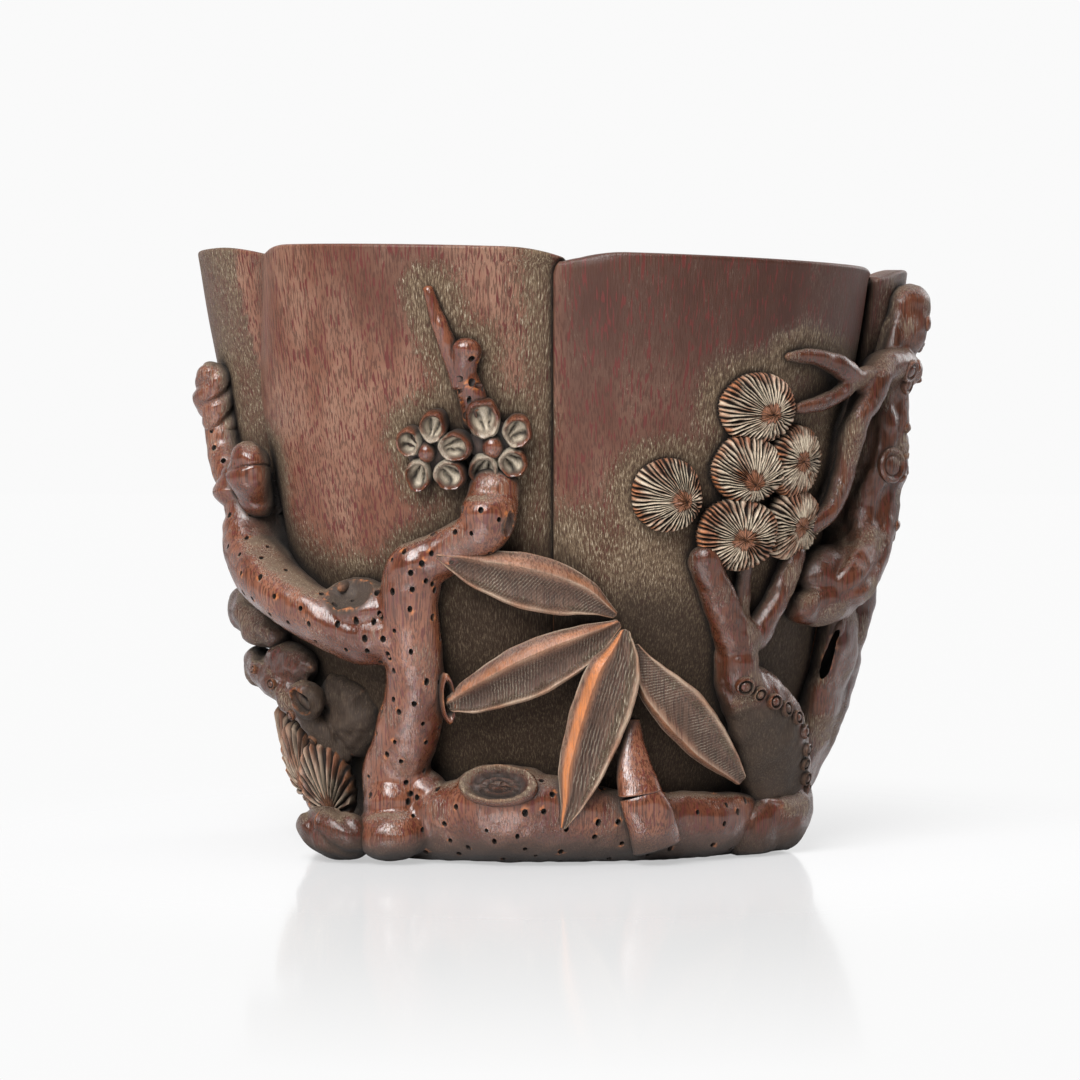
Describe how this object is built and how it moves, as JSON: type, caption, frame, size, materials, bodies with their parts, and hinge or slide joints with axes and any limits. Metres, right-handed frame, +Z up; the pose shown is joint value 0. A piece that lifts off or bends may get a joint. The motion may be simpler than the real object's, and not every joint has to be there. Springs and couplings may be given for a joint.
{
  "type": "libation cup",
  "caption": "Flaring petal-lobed cup of carved bamboo with prunus, bamboo and pine in high relief around it, for pouring offerings.",
  "frame": {"origin": "middle of the foot's flat underside", "axes": "+Z up out of the cup's mouth, +X along the mouth's long axis to the right, front with the prunus trunk towards -Y"},
  "size_m": [0.1076, 0.0817, 0.0869],
  "materials": {
    "vessel": "polished bamboo with a reddish-brown patina and dark vertical fibre flecks",
    "prunus": "polished carved bamboo, drilled with small pits",
    "bamboo_sprig": "carved bamboo, edges worn bright",
    "pine": "carved bamboo, darker in the hollows",
    "needle_pads": "carved bamboo with fine radial cuts holding pale dust"
  },
  "bodies": {
    "root": {"cup_body": "vessel", "bamboo_leaf_top": "bamboo_sprig", "bamboo_leaf_left": "bamboo_sprig", "bamboo_leaf_down": "bamboo_sprig", "bamboo_leaf_right": "bamboo_sprig", "bamboo_culm_lower": "bamboo_sprig", "bamboo_culm_upper": "bamboo_sprig", "plum_blossom_left": "prunus", "plum_blossom_right": "prunus", "plum_bud_lower": "prunus", "plum_bud_upper": "prunus", "prunus_trunk": "prunus", "prunus_upper_branch": "prunus", "prunus_left_branch": "prunus", "prunus_branch_tip": "prunus", "prunus_stub": "prunus", "prunus_spur": "prunus", "prunus_root": "prunus", "prunus_knot": "prunus", "pine_pad_1": "needle_pads", "pine_pad_5": "needle_pads", "pine_pad_3": "needle_pads", "pine_pad_2": "needle_pads", "pine_pad_4": "needle_pads", "pine_pad_6": "needle_pads", "pine_branch": "pine", "pine_twig_upper": "pine", "pine_twig_lower": "pine", "pine_trunk": "pine", "pine_trunk_knob": "pine", "pine_root": "pine", "pine_stem_middle": "pine", "pine_stem_left": "pine", "pine_stem_right": "pine", "pine_stump": "pine", "foot_knob": "pine", "left_pine_branch": "pine", "left_rock": "pine", "left_pad_1": "needle_pads", "left_pad_2": "needle_pads", "left_pad_3": "needle_pads", "plum_blossom_back": "prunus", "bamboo_leaf_back_1": "bamboo_sprig", "bamboo_leaf_back_2": "bamboo_sprig", "bamboo_leaf_back_3": "bamboo_sprig", "pine_pad_back_1": "needle_pads", "pine_pad_back_2": "needle_pads", "pine_pad_back_3": "needle_pads", "pine_branch_back": "pine", "prunus_root_back": "prunus", "prunus_branch_back": "prunus", "rock_back": "pine"}
  },
  "joints": []
}
